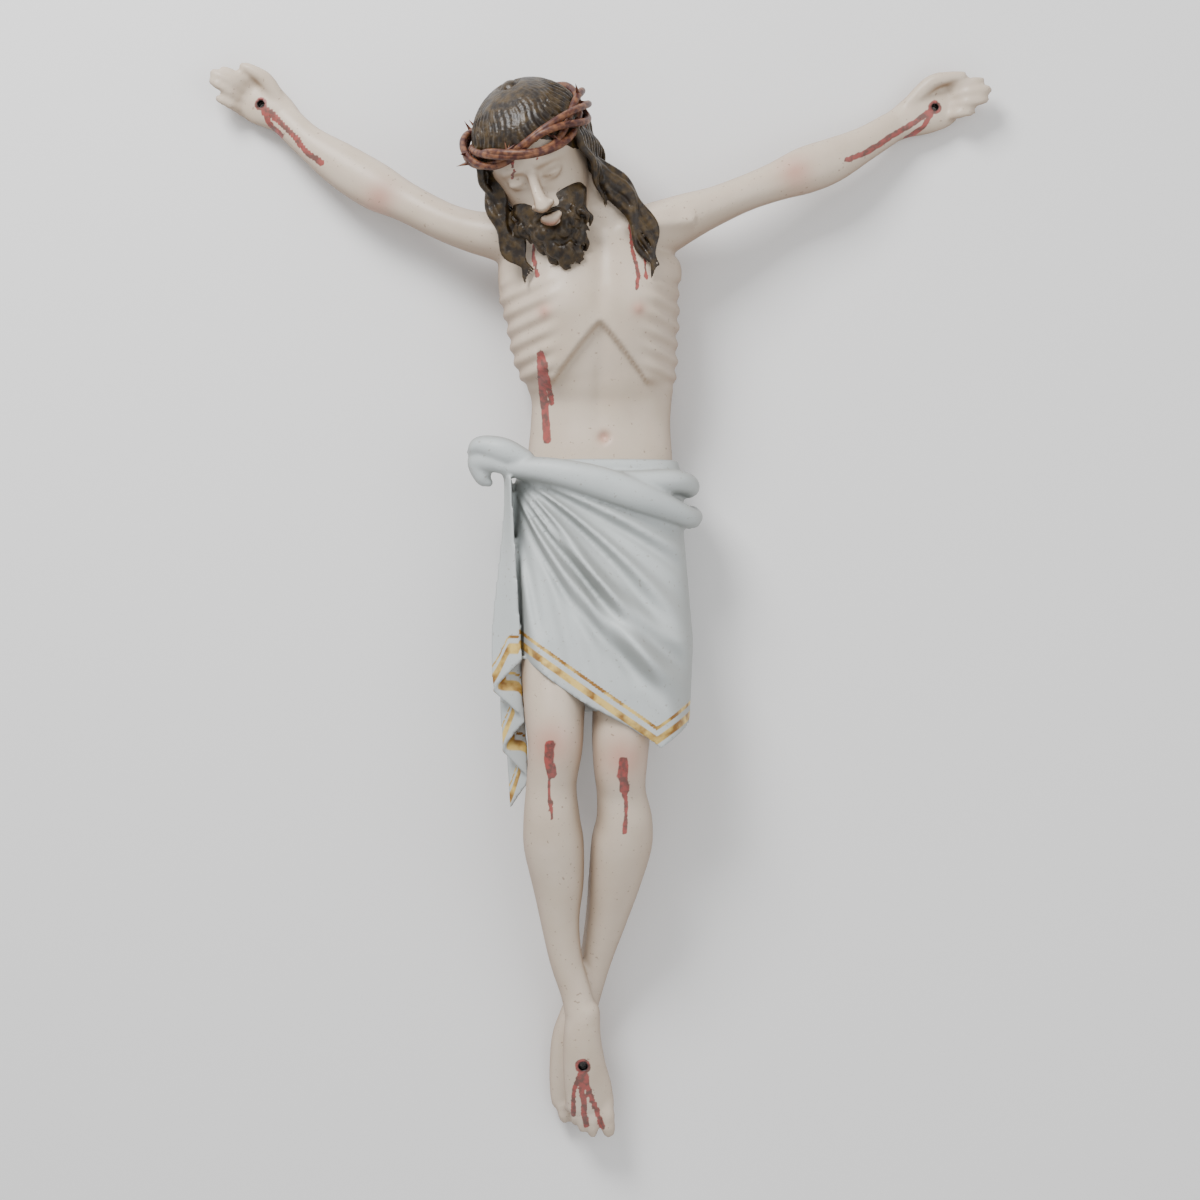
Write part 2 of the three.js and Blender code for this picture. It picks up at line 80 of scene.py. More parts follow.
# %% [markdown]
# A limb is a row of stations: x, y, z, half its width in the picture, and half its depth. A few stations
# and a smooth curve through them give a natural swell and taper. They follow the CAD's stations, so the
# skins lie where its solids lie. Left and right are the figure's own.

# %% Stations of the trunk, arms and legs
TORSO = [(0, 90, 50, 74, 51), (0, 140, 45, 73, 47), (0.5, 175, 42, 70.5, 44), (1.5, 203, 43, 71, 45),
         (0, 230, 48, 78, 51), (-5, 258, 53, 84, 57), (-8, 290, 55, 87.5, 60), (-11, 318, 55, 91, 58),
         (-9, 342, 55, 92, 53), (-5, 364, 56, 84, 44), (1, 384, 58, 58, 35), (2, 398, 60, 36, 28)]
NECK = [(6, 366, 62, 31, 31), (-8, 396, 76, 27, 28), (-30, 424, 92, 27, 28), (-48, 446, 102, 28, 30)]
RIGHT_ARM = [(-60, 352, 56, 30, 36), (-98, 364, 58, 25, 31), (-128, 370, 57, 21, 25),
             (-158, 381, 54, 19.5, 22), (-196, 401, 47, 20, 19), (-226, 417, 43, 24, 20),
             (-262, 440, 36, 22.5, 18), (-296, 465, 28, 17, 13.5), (-320, 488, 21, 16, 11.5)]
LEFT_ARM = [(50, 368, 56, 30, 36), (86, 384, 58, 24, 31), (116, 396, 56, 19.5, 25), (146, 409, 52, 18, 21),
            (176, 421, 47, 19.5, 19), (206, 433, 43, 23.5, 20), (234, 444, 39, 22.5, 18.5),
            (268, 462, 31, 17.5, 14), (298, 481, 22, 15.5, 11.5)]
RIGHT_LEG = [(-45, -60, 84, 34, 40), (-45, -110, 104, 30, 36), (-44, -145, 111, 27, 31),
             (-48, -181, 103, 25, 27), (-48, -215, 95, 28, 31), (-46, -243, 87, 30, 32),
             (-42, -281, 77, 26, 27), (-40, -321, 68, 19.5, 21), (-34, -361, 61, 16.5, 17),
             (-24, -395, 56, 15.5, 16.5), (-17, -424, 55, 17, 19)]
LEFT_LEG = [(30, -60, 80, 34, 40), (22, -120, 98, 30, 36), (20, -160, 103, 27, 31), (21, -190, 94, 24.5, 27),
            (24, -218, 85, 28, 31), (21.5, -243, 76, 30.5, 32), (14.5, -281, 63, 26.5, 27),
            (6, -321, 49, 21, 21),
            (-4, -361, 37, 16.5, 17), (-14, -398, 28, 15.5, 16), (-24, -428, 21, 18, 19)]
KNEECAPS = [(-46, -140, 130), (19, -155, 122)]
KNEECAP_SIZE = (15, 18, 12)
print("limbs", len((RIGHT_ARM, LEFT_ARM, RIGHT_LEG, LEFT_LEG)))

# %% [markdown]
# A hand or foot is a short limb with its fingers or toes set in the end. A finger or toe needs less: its
# base, its tip, its radius, and how far it curls up between them. Each nail hole is its x, its y and its
# radius.

# %% Stations of the hands and feet
RIGHT_PALM = [(-310, 479, 20, 14, 11), (-326, 494, 17, 19, 13), (-342, 505, 14, 23, 12.5),
              (-357, 512, 13, 21, 9)]
RIGHT_THUMB = [(-322, 500, 18, 8, 8), (-338, 526, 24, 8, 8), (-352, 536, 27, 6.5, 6.5), (-362, 541, 27, 5, 5)]
RIGHT_FINGERS = [((-350, 522, 14), (-385, 539, 24), 5.2, 8), ((-356, 515, 14), (-395, 536, 28), 5.3, 9),
                 ((-361, 506, 14), (-396, 528, 28), 5.2, 9), ((-364, 497, 14), (-389, 510, 24), 4.7, 8)]
LEFT_PALM = [(288, 475, 21, 14, 11), (306, 485, 18, 17, 13), (326, 495, 15, 22.5, 13), (346, 503, 13, 23, 10),
             (356, 506, 13, 20, 8)]
LEFT_THUMB = [(308, 496, 19, 8, 8), (334, 523, 25, 8, 8), (352, 529, 28, 6.5, 6.5), (368, 531, 29, 5, 5)]
LEFT_FINGERS = [((350, 520, 14), (390, 527, 24), 5.2, 8), ((353, 511, 14), (397, 518, 26), 5.3, 9),
                ((354, 501, 14), (394, 508, 26), 5.2, 9), ((352, 491, 14), (380, 496, 23), 4.7, 8)]
RIGHT_FOOT = [(-17, -412, 56, 17, 18), (-18, -440, 53, 19, 19), (-16, -467, 48, 21.5, 17),
              (-12, -492, 42, 24, 13.5), (-9, -512, 38, 24, 9.5)]
LEFT_FOOT = [(-22, -416, 24, 17, 18), (-29, -445, 20, 20, 19), (-30, -475, 17, 21.5, 17),
             (-30, -500, 14, 21, 13), (-29, -512, 12, 20, 10)]
TOES = [((6, -504, 39), (9, -541, 34), 7.6, 3), ((-6, -508, 38), (-7.5, -543, 30), 5.6, 5),
        ((-14.5, -506, 38), (-18, -538, 30), 5.2, 5), ((-22, -502, 37), (-26, -530, 29), 5, 5),
        ((-28, -496, 36), (-33, -517, 28), 4.8, 4), ((-39, -500, 14), (-35, -530, 11), 7.4, 3),
        ((-27, -506, 13), (-24, -534, 10), 5.4, 4)]
NAIL_HOLES = [(-344, 503, 3.5), (340, 500, 3.5), (-17, -467, 4.5)]
print("fingers", len(RIGHT_FINGERS + LEFT_FINGERS), "toes", len(TOES))

# %% [markdown]
# The head hangs forward and to the figure's right. It is made upright in a frame of its own, with x to its
# left, y up and z forward, and then turned into place, because a face is far easier to shape straight on.

# %% The head's frame and stations
HEAD_CENTRE = Vector((-64, 442, 112))
HEAD_ROLL, HEAD_PITCH, HEAD_YAW = 24, 22, 15
SKULL = [(0, -86, 35, 10, 9), (0, -80, 30, 19, 19), (0, -66, 19, 30, 33), (0, -48, 9, 39, 44),
         (0, -28, 2, 45, 51), (0, -8, -3, 49, 59), (0, 14, -4, 50, 60), (0, 36, -4, 44, 52),
         (0, 52, -6, 29, 34), (0, 60, -6, 12, 15)]
NOSE = [(0, 2, 50, 5, 6), (0, -14, 57, 5, 7), (0, -30, 63, 6.5, 8), (0, -38, 65, 8.5, 7)]
UPPER_LIP = [(-12, -54, 49, 1.5, 2), (-6, -52.5, 53, 2.8, 3.5), (0, -53.4, 55, 2.4, 4),
             (6, -52.5, 53, 2.8, 3.5), (12, -54, 49, 1.5, 2)]
LOWER_LIP = [(-11, -56, 49, 1.5, 2), (0, -58.4, 54, 3.6, 4.5), (11, -56, 49, 1.5, 2)]
head_turn = (Matrix.Rotation(math.radians(HEAD_ROLL), 4, "Z")
             @ Matrix.Rotation(math.radians(HEAD_PITCH), 4, "X")
             @ Matrix.Rotation(math.radians(-HEAD_YAW), 4, "Y"))
head_frame = np.array(Matrix.Translation(HEAD_CENTRE) @ head_turn)
head_forward = head_frame[:3, :3] @ np.array((0, 0, 1.0))
print("face looks along", head_forward.round(2))


# %% [markdown]
# The carver's tools. A loft sweeps an ellipse along a curve and domes its ends. Two small curves shape most
# of the relief: a smooth step for an edge, and a bell for a swelling or a groove.

# %% Lofts
SIDE, TOP = 3, 4
DOME = [(-0.95, 0.3), (-0.75, 0.66), (-0.4, 0.9)]
DOME_REACH = 0.75
EGG_REACH = 1.4


def smooth(v, low, high):
    t = np.clip((v - low) / (high - low), 0, 1)
    return t * t * (3 - 2 * t)


def bell(d, width):
    return np.exp(-(d / width) ** 2)


def spline(rows, count):
    """A smooth curve through the rows."""
    rows = np.array(rows, float)
    rows = np.vstack([2 * rows[0] - rows[1], rows, 2 * rows[-1] - rows[-2]])
    t = np.linspace(0, len(rows) - 3 - 1e-9, count)
    i = t.astype(int)
    f = (t - i)[:, None]
    a, b, c, d = rows[i], rows[i + 1], rows[i + 2], rows[i + 3]
    return 0.5 * (2 * b + (c - a) * f + (2 * a - 5 * b + 4 * c - d) * f**2 + (3 * b - a - 3 * c + d) * f**3)


def tube_faces(rows, sides):
    """Quads between rings of equal length, as a closed tube without its ends."""
    faces = []
    for low in range(0, rows * sides, sides):
        high = low + sides
        faces += [(low + i, low + (i + 1) % sides, high + (i + 1) % sides, high + i) for i in range(sides)]
    return faces


def end_faces(rows, sides):
    return [tuple(range(sides))[::-1], tuple(range(rows * sides, (rows + 1) * sides))]


def loft(stations, sides=24, count=None):
    """Points and faces of a limb with domed ends."""
    rows = spline(stations, count or 8 * len(stations))
    tangent = np.gradient(rows[:, :3], axis=0)
    tangent /= np.linalg.norm(tangent, axis=1)[:, None]
    across = np.cross((0, 0, 1), tangent)
    across /= np.maximum(np.linalg.norm(across, axis=1), 1e-6)[:, None]
    up = np.cross(tangent, across)
    a = np.linspace(0, 2 * np.pi, sides, endpoint=False)
    rings = []
    ends = ([(0, p, s) for p, s in DOME] + [(k, 0, 1) for k in range(len(rows))]
            + [(-1, -p, s) for p, s in reversed(DOME)])
    for k, push, scale in ends:
        reach = push * min(rows[k, SIDE], rows[k, TOP]) * DOME_REACH
        middle = rows[k, :3] + tangent[k] * reach
        wide = np.outer(np.cos(a) * rows[k, SIDE], across[k])
        deep = np.outer(np.sin(a) * rows[k, TOP], up[k])
        rings.append(middle + scale * (wide + deep))
    last = len(rings) - 1
    return np.vstack(rings), tube_faces(last, sides) + end_faces(last, sides)


def ball(centre, size, sides=20):
    """An egg, lofted from its bottom to its top."""
    cx, cy, cz = centre
    sx, sy, sz = size
    rows = [(cx, cy + sy * math.sin(v), cz, sx * math.cos(v), sz * math.cos(v))
            for v in np.linspace(-EGG_REACH, EGG_REACH, 9)]
    return loft(rows, sides, 20)


KNUCKLES = ((0, 1), (0.25, 0.93), (0.45, 1.04), (0.62, 0.92), (0.75, 0.98), (0.93, 0.8))


def digit(base, tip, radius, lift):
    """A finger or toe that swells at its joints."""
    base, tip = np.array(base, float), np.array(tip, float)
    rows = []
    for t, grow in KNUCKLES:
        middle = base + (tip - base) * t + (0, 0, lift * math.sin(math.pi * t))
        rows.append((*middle, radius * grow, radius * grow))
    return loft(rows, 16, 24)


def placed(part):
    """A part made in the head's frame, turned into place."""
    points, faces = part
    return points @ head_frame[:3, :3].T + head_frame[:3, 3], faces


def in_head_frame(points):
    return (points - np.array(HEAD_CENTRE)) @ head_frame[:3, :3]


print("a finger has", len(digit(*RIGHT_FINGERS[0])[0]), "points")

# %% [markdown]
# Lofts that cross would leave hard seams and hidden walls. A voxel remesh melts them into one closed skin,
# as gesso and paint do on the real wood, and a light smoothing takes off the steps that the voxels leave.

# %% Skins
SMOOTHING = 0.5
BOX_MARGIN = 0.2


def mesh_object(name, parts):
    points, faces, base = [], [], 0
    for p, f in parts:
        points.append(p * MM)
        faces += [tuple(base + i for i in face) for face in f]
        base += len(p)
    mesh = bpy.data.meshes.new(name)
    mesh.from_pydata(np.vstack(points).tolist(), [], faces)
    mesh.update()
    piece = bpy.data.objects.new(name, mesh)
    bpy.context.scene.collection.objects.link(piece)
    return piece


def settle(piece):
    """Apply the piece's modifiers to its mesh."""
    graph = bpy.context.evaluated_depsgraph_get()
    made = bpy.data.meshes.new_from_object(piece.evaluated_get(graph))
    piece.modifiers.clear()
    piece.data = made


def carve(name, parts, voxel, smoothing):
    piece = mesh_object(name, parts)
    remesh = piece.modifiers.new("skin", "REMESH")
    remesh.mode = "VOXEL"
    remesh.voxel_size = voxel * MM
    soften = piece.modifiers.new("soften", "SMOOTH")
    soften.iterations = smoothing
    soften.factor = SMOOTHING
    settle(piece)
    print(name, len(piece.data.vertices), "points")
    return piece


def points_of(piece):
    co = np.empty(len(piece.data.vertices) * 3)
    piece.data.vertices.foreach_get("co", co)
    return co.reshape(-1, 3) / MM


def normals_of(piece):
    no = np.empty(len(piece.data.vertices) * 3)
    piece.data.vertices.foreach_get("normal", no)
    return no.reshape(-1, 3)


def put_points(piece, co):
    piece.data.vertices.foreach_set("co", (co * MM).ravel())
    piece.data.update()


def keep_in_box(piece):
    """No point passes the CAD's box, and the back is planed flat."""
    low, high = (np.array(c) / MM for c in cad_box)
    put_points(piece, np.clip(points_of(piece), low + BOX_MARGIN, high - BOX_MARGIN))


def attribute(piece, name, values):
    layer = piece.data.attributes.new(name, "FLOAT", "POINT")
    layer.data.foreach_set("value", np.clip(values, 0, 1).astype(np.float32))


# %% [markdown]
# The flesh is one skin from the crown to the toes, so it is carved as one piece. The face is a calm one on
# plain proportions: a straight nose, closed lids and a mouth.

# %% Flesh
FLESH_VOXEL = 2.7
NOSTRILS = [(side * 8, -37, 59) for side in (-1, 1)]
EYES = [(side * 17, -12, 44.5) for side in (-1, 1)]
head_parts = [loft(SKULL, 40), loft(NOSE, 20)]
head_parts += [ball(place, (4.5, 4, 5)) for place in NOSTRILS]
head_parts += [ball(place, (11, 7, 8.5)) for place in EYES]
head_parts += [loft(UPPER_LIP, 14), loft(LOWER_LIP, 14)]
flesh_parts = [loft(TORSO, 56), loft(NECK, 32), *[placed(p) for p in head_parts]]
flesh_parts += [loft(limb, 32) for limb in (RIGHT_ARM, LEFT_ARM, RIGHT_LEG, LEFT_LEG)]
flesh_parts += [loft(limb, 32) for limb in (RIGHT_PALM, LEFT_PALM, RIGHT_FOOT, LEFT_FOOT)]
flesh_parts += [loft(thumb, 18) for thumb in (RIGHT_THUMB, LEFT_THUMB)]
flesh_parts += [digit(*d) for d in RIGHT_FINGERS + LEFT_FINGERS + TOES]
flesh_parts += [ball(place, KNEECAP_SIZE) for place in KNEECAPS]
flesh = carve("flesh", flesh_parts, FLESH_VOXEL, 1)

# %% [markdown]
# The carver cut the arch of the ribs as a crisp step over the sunken belly. Relief like this is a height
# for each point. It is added after the skins are melted, so that the smoothing doesn't wear the step away.

# %% Chest, belly and ribs
ARCH_TOP, ARCH_SPREAD, ARCH_FALL, RIB_STEP = 274, 46, 56, 9
RIB_SPACING, RIB_HEIGHT = 17, 1.5
NIPPLES = ((-55, 285), (38, 287))
NAVEL = (4, 162)
SIDE_WOUND = (-58, 243)
co, no = points_of(flesh), normals_of(flesh)
x, y, z = co.T
side = np.abs(x)
on_chest = smooth(y, 120, 140) * (1 - smooth(y, 385, 400)) * smooth(no[:, 2], 0.0, 0.5) * (side < 95)
arch = ARCH_TOP - ARCH_FALL * np.minimum(1, side / ARCH_SPREAD) ** 1.1
cage = RIB_STEP * smooth(y, arch - 5, arch + 4) * (1 - smooth(side, 50, 82))
breasts = 5 * bell(np.hypot(side - 42, (y - 296) * 1.2), 30)
breastbone = 3 * bell(x, 8) * smooth(y, 270, 300)
muscles = 3 * bell(side - 20, 15) * bell(y - 195, 34)
midline = 2 * bell(x, 6) * bell(y - 215, 45)
navel = -6 * bell(np.hypot(x - NAVEL[0], y - NAVEL[1]), 5)
collarbones = 4 * bell(y - 366 - side * 0.12, 7) * smooth(side, 12, 24)
chest = cage + (breasts - breastbone) + (muscles - midline) + (navel + collarbones)
nipples = sum(1.8 * bell(np.hypot(x - nx, y - ny), 3.5) for nx, ny in NIPPLES)
wx, wy = x - SIDE_WOUND[0], y - SIDE_WOUND[1]
wound = -3 * bell(np.hypot(wx * 0.8 + wy * 0.6, (wy * 0.8 - wx * 0.6) / 2.6), 2.4)
rib_wave = np.cos((y + 0.35 * side - 250) / RIB_SPACING * 2 * math.pi)
rib_zone = smooth(side, 34, 60) * smooth(y, 205, 225) * (1 - smooth(y, 300, 330)) * (side < 100)
ribs = RIB_HEIGHT * rib_wave * rib_zone
co[:, 2] += on_chest * (chest + nipples + wound)
co += no * (ribs * (z > 20))[:, None]
print("relief of the chest up to", round(float(chest.max()), 1), "mm")

# %% [markdown]
# The brow and the line where the lids meet are finer than a loft can carry. They are relief too, pushed out
# or in along the way that the face looks.

# %% Brow and lids
EYE_HALF_GAP, LID_CURVE = 17, 0.012
hx, hy, hz = in_head_frame(co).T
facing = smooth(hz, 20, 50) * (np.abs(hx) < 60) * (hy > -90) * (hy < 60)
from_eye = np.abs(hx) - EYE_HALF_GAP
lid_line = bell(hy + 15 - LID_CURVE * from_eye**2, 1.3) * (np.abs(from_eye) < 10)
brow = (2.5 * bell(hy - 2 + LID_CURVE * from_eye**2, 5) * (1 - smooth(np.abs(hx), 26, 36))
        * smooth(np.abs(hx), 3, 9))
co += head_forward[None, :] * (facing * (brow - 1.2 * lid_line))[:, None]
put_points(flesh, co)
keep_in_box(flesh)
print("points on the face", int((facing > 0.5).sum()))

# %% [markdown]
# The nail holes are real holes through the palms and the crossed feet. They are drilled with a boolean cut
# after the remesh, because the voxels would leave so small a hole ragged.

# %% Nail holes
DRILL_HALF_LENGTH = 150


def upright(part):
    """A part lofted along y, stood up along z."""
    points, faces = part
    return points[:, [0, 2, 1]], [face[::-1] for face in faces]


drill_parts = [upright(loft([(nx, -DRILL_HALF_LENGTH, ny, r, r), (nx, DRILL_HALF_LENGTH, ny, r, r)], 24, 4))
               for nx, ny, r in NAIL_HOLES]
drills = mesh_object("drills", drill_parts)
holes = flesh.modifiers.new("holes", "BOOLEAN")
holes.object = drills
holes.solver = "EXACT"
settle(flesh)
bpy.data.objects.remove(drills)
print("flesh with holes", len(flesh.data.vertices), "points")

# %% [markdown]
# The loincloth is carved wood, so it is a solid skin and not simulated cloth. Its folds fan from the knot
# at the right hip. Each is a ridge along a bent ray with a groove beside it, and the height of all of them
# together is added to the drape.

# %% Drape and folds
KNOT = (-92, 128)
# Outline of the drape at each height: y, right edge, left edge, front
DRAPE = [(140, -78, 78, 100), (118, -86, 84, 106), (70, -86, 84, 112), (20, -85, 88, 124),
         (-40, -83, 93, 136), (-90, -80, 91, 141), (-146, -76, 88, 141)]
DRAPE_MIDDLE, DRAPE_HALF = 5.5, 85.5
HEM_RIGHT, HEM_LOW, HEM_LEFT = (-84, -49), (56, -147), (91, -122)
BACK_HEM, DRAPE_TOP = -112, 140
BACK_SINK, SQUARENESS = 3, 0.8
# Each fold: direction from the knot, height, width in degrees, bend per 100 mm
FOLDS = [(-84, 11, 2.6, 2), (-69, 13, 2.8, 7), (-57, 12, 2.7, 5), (-44, 13, 3.2, -4), (-30, 11, 2.8, -5),
         (-19, 8, 2.8, -3)]
GROOVE_DEPTH, GROOVE_OFFSET, GROOVE_WIDTH = 0.45, 1.7, 0.7
RIPPLE_HEIGHT, RIPPLE_DEGREES, RIPPLE_BEND = 1.3, 6.5, 0.03


def hem_at(x):
    return np.interp(x, (HEM_RIGHT[0], HEM_LOW[0], HEM_LEFT[0]), (HEM_RIGHT[1], HEM_LOW[1], HEM_LEFT[1]))


def fold_relief(x, y):
    dx, dy = x - KNOT[0], y - KNOT[1]
    far = np.hypot(dx, dy)
    angle = np.degrees(np.arctan2(dy, dx))
    total = 0
    for direction, height, width, bend in FOLDS:
        off = angle - direction - bend * far / 100
        groove = GROOVE_DEPTH * bell(off + GROOVE_OFFSET * width, width * GROOVE_WIDTH)
        total = total + height * smooth(far, 10, 60) * (bell(off, width) - groove)
    wave = np.cos(2 * math.pi * (angle + RIPPLE_BEND * far) / RIPPLE_DEGREES)
    return total + RIPPLE_HEIGHT * smooth(far, 60, 160) * wave


def drape_shell(sides=240, rows=110):
    a = np.arange(sides) / sides * 2 * np.pi
    c, s = np.cos(a), np.sin(a)
    table = np.array(DRAPE[::-1], float)
    front = smooth(s, -0.25, 0.25)
    hem = BACK_HEM + (hem_at(DRAPE_MIDDLE + c * DRAPE_HALF) - BACK_HEM) * front
    rings = []
    for row in range(rows + 1):
        y = DRAPE_TOP + (hem - DRAPE_TOP) * row / rows
        right, left, top = (np.interp(y, table[:, 0], table[:, k]) for k in (1, 2, 3))
        x = (left + right) / 2 + np.sign(c) * np.abs(c) ** SQUARENESS * (left - right) / 2
        half = (top + BACK_SINK) / 2
        z = (half - BACK_SINK + np.sign(s) * np.abs(s) ** SQUARENESS * half
             + fold_relief(x, y) * np.maximum(0, s) ** 0.5)
        rings.append(np.column_stack((x, y, z)))
    return np.vstack(rings), tube_faces(rows, sides) + end_faces(rows, sides)


drape_part = drape_shell()
print("drape", len(drape_part[0]), "points")

# %% [markdown]
# The loose end hangs in flat pleats: the cloth turns to and fro as it goes back, and each turn hangs lower
# than the one in front, so that the slanting hem shows as a zigzag.

# %% Hanging end
PLEATS, CASCADE_TOP, CASCADE_SHORT, CASCADE_LONG = 5, 122, 182, 332
CASCADE_FRONT, CASCADE_DEPTH = 104, 46
CASCADE_EDGE, CASCADE_LEAN = -88, 0.06


def cascade(count=100, rows=60, thick=5):
    u = np.linspace(0, 1, count + 1)
    turn = u * PLEATS % 2
    out = np.where(turn > 1, 2 - turn, turn)
    rings = []
    for row in np.linspace(0, 1, rows + 1):
        fall = row * (CASCADE_SHORT + (CASCADE_LONG - CASCADE_SHORT) * u)
        spread = 9 + 25 * smooth(fall, 0, 190)
        x = CASCADE_EDGE + CASCADE_LEAN * fall - out * spread * (1 - 0.35 * u)
        z = CASCADE_FRONT - u * CASCADE_DEPTH + 3 * np.cos(turn * np.pi)
        y = CASCADE_TOP - fall
        outside = np.column_stack((x, y, z + thick / 2))
        inside = np.column_stack((x, y, z - thick / 2))[::-1]
        rings.append(np.vstack((outside, inside)))
    n = len(rings[0])
    faces = tube_faces(rows, n)
    for r, flip in ((0, True), (rows, False)):
        for i in range(count):
            quad = (r * n + i, r * n + i + 1, r * n + n - 2 - i, r * n + n - 1 - i)
            faces.append(quad[::-1] if flip else quad)
    return np.vstack(rings), faces


cascade_part = cascade()
print("hanging end", len(cascade_part[0]), "points")

# %% [markdown]
# The rolled band crosses the front in two turns and is tied in a bow at the right hip. Each turn and lobe
# is a loft, and the remesh melts them into the drape and its hanging end.

# %% Rolled band and bow
CLOTH_VOXEL = 2.1
BAND_OVER = [(-92, 132, 92, 10, 14), (-50, 128, 108, 13, 13), (0, 116, 114, 16, 13), (45, 100, 110, 15, 13),
             (84, 84, 84, 11, 14), (88, 84, 50, 10, 12), (60, 90, 18, 12, 10)]
BAND_UNDER = [(-80, 130, 90, 10, 14), (-20, 116, 102, 13, 11), (30, 116, 106, 12, 11), (72, 118, 92, 12, 14),
              (88, 114, 60, 11, 13), (66, 112, 20, 12, 10)]
BOW = [[(-74, 138, 98, 11, 11), (-96, 148, 100, 13, 13), (-118, 153, 92, 10, 13), (-126, 148, 84, 6, 9)],
       [(-94, 132, 98, 8, 10), (-106, 138, 94, 12, 12), (-119, 138, 86, 13, 13), (-116, 122, 84, 9, 10),
        (-110, 116, 84, 4, 6)]]
cloth_parts = [drape_part, cascade_part, loft(BAND_OVER), loft(BAND_UNDER), *[loft(lobe) for lobe in BOW]]
cloth = carve("loincloth", cloth_parts, CLOTH_VOXEL, 1)
keep_in_box(cloth)

# %% [markdown]
# Carved hair is a mass of wavy locks side by side. Separate tapered locks over a cap, melted together with
# a fine voxel, keep the furrows between them.

# %% Hair
LOCK_STEPS = 30
CAP_CENTRE, CAP_SIZE = (0, 13, -9), (55, 55, 63)
CAP_STRAND_OUT = 1.01


def wavy_lock(points, width, swing, phase, waves=2.6, flat=0.8):
    line = spline(points, LOCK_STEPS)
    along = np.gradient(line, axis=0)
    along /= np.linalg.norm(along, axis=1)[:, None]
    t = np.linspace(0, 1, LOCK_STEPS)
    swell = swing * smooth(t, 0.1, 0.5) * np.sin(2 * math.pi * waves * t + phase)
    r = width * (1 - 0.75 * t * t)
    across, down = line[:, 0] - along[:, 1] * swell, line[:, 1] + along[:, 0] * swell
    return loft(np.column_stack((across, down, line[:, 2], r, r * flat)), 10, 40)


hair_parts = []
# Locks that fall on the left and right shoulders
for k in np.linspace(-1.4, 1.4, 13):
    depth = 4 * rng.uniform(-1, 1)
    left_line = [(-30 + 6 * k, 452 - 4 * k, 106 + depth), (2 + 8 * k, 424, 110 + depth),
                 (28 + 9 * k, 396, 108 + depth), (44 + 8 * k, 360, 108 + depth),
                 (53 + 3 * k, 318 + 9 * abs(k), 112)]
    right_line = [(-112, 446, 112 + 7 * k), (-105 + 4 * k, 412, 116 + 5 * k), (-96 + 7 * k, 374, 114 + depth),
                  (-84 + 7 * k, 344, 112), (-71 + 4 * k, 313 + 7 * abs(k), 111)]
    hair_parts.append(wavy_lock(left_line, 3.9, 3.5, k * 2.1))
    hair_parts.append(wavy_lock(right_line, 3.7, 3.2, k * 1.9 + 1))
# Locks over the temples and ears
for s in (-1, 1):
    for start in np.linspace(-34, 24, 9):
        fall = rng.uniform(0.9, 1.1)
        temple_line = [(s * 48, 28, start), (s * 53, 0, start + 3), (s * 53, -34 * fall, start + 2),
                       (s * 46, -72 * fall, start - 6)]
        hair_parts.append(placed(wavy_lock(temple_line, 4.6, 2.4, start)))
hair_parts.append(placed(ball(CAP_CENTRE, CAP_SIZE, 40)))
# Strands combed down from the crown, shorter over the brow
reach_x, reach_y, reach_z = (CAP_STRAND_OUT * size for size in CAP_SIZE)
for turn in np.linspace(0, 2 * math.pi, 44, endpoint=False):
    rows = []
    for v in np.linspace(1.35, -0.25 if math.sin(turn) < 0.35 else 0.22, 14):
        wave = turn + 0.05 * math.sin(9 * v + 3 * turn)
        rows.append((reach_x * math.cos(v) * math.cos(wave), CAP_CENTRE[1] + reach_y * math.sin(v),
                     CAP_CENTRE[2] + reach_z * math.cos(v) * math.sin(wave), 3.6, 2.6))
    hair_parts.append(placed(loft(rows, 8, 24)))
print("locks and strands", len(hair_parts))

# %% [markdown]
# The beard is a mass on the chin with short curls strewn over it, and a moustache in two halves. The curls
# would bury the mouth, so the points round it are drawn back after the remesh.

# %% Beard
CURLS = 70
HAIR_VOXEL = 1.3
MOUTH_SINK = 9.0
BEARD = [(0, -44, 28, 40, 24), (0, -56, 31, 35, 28), (0, -72, 34, 28, 26), (0, -86, 38, 19, 19),
         (0, -97, 42, 9, 10)]
beard_parts = [loft(BEARD, 32)]
for _ in range(CURLS):
    turn, level = rng.uniform(0.1, math.pi - 0.1), rng.uniform(0, 1)
    width, depth = 39 - 26 * level, 28 - 10 * level
    sx, sz = math.cos(turn) * width, 31 + 9 * level + math.sin(turn) * depth
    sy = -50 - 44 * level
    curl = rng.uniform(-5, 5)
    curl_line = [(sx, sy, sz, 3.2, 2.6), (sx + curl, sy - 6, sz + 1.5, 3, 2.5),
                 (sx + curl * 0.4, sy - 12, sz, 2, 2), (sx - curl * 0.3, sy - 16, sz - 2, 1, 1)]
    beard_parts.append(loft(curl_line, 8, 14))
for s in (-1, 1):
    moustache = [(0, -46, 60, 3, 3.4), (s * 10, -48.5, 57, 3.4, 3.6), (s * 18, -57, 50, 3, 3),
                 (s * 22, -66, 46, 1.5, 2)]
    beard_parts.append(loft(moustache, 12))
hair = carve("hair_and_beard", hair_parts + [placed(p) for p in beard_parts], HAIR_VOXEL, 1)
co = points_of(hair)
hx, hy, hz = in_head_frame(co).T
mouth = bell(np.hypot(hx / 1.5, hy + 56), 8) * smooth(hz, 40, 52)
co -= (MOUTH_SINK * head_forward)[None, :] * mouth[:, None]
put_points(hair, co)
keep_in_box(hair)
print("points drawn back round the mouth", int((mouth > 0.5).sum()))

# %% [markdown]
# The wreath is a few long twigs wound round the head and over each other. Every twig follows one rule, a
# ring that swings in and out and up and down, so its path is worked out and not drawn.

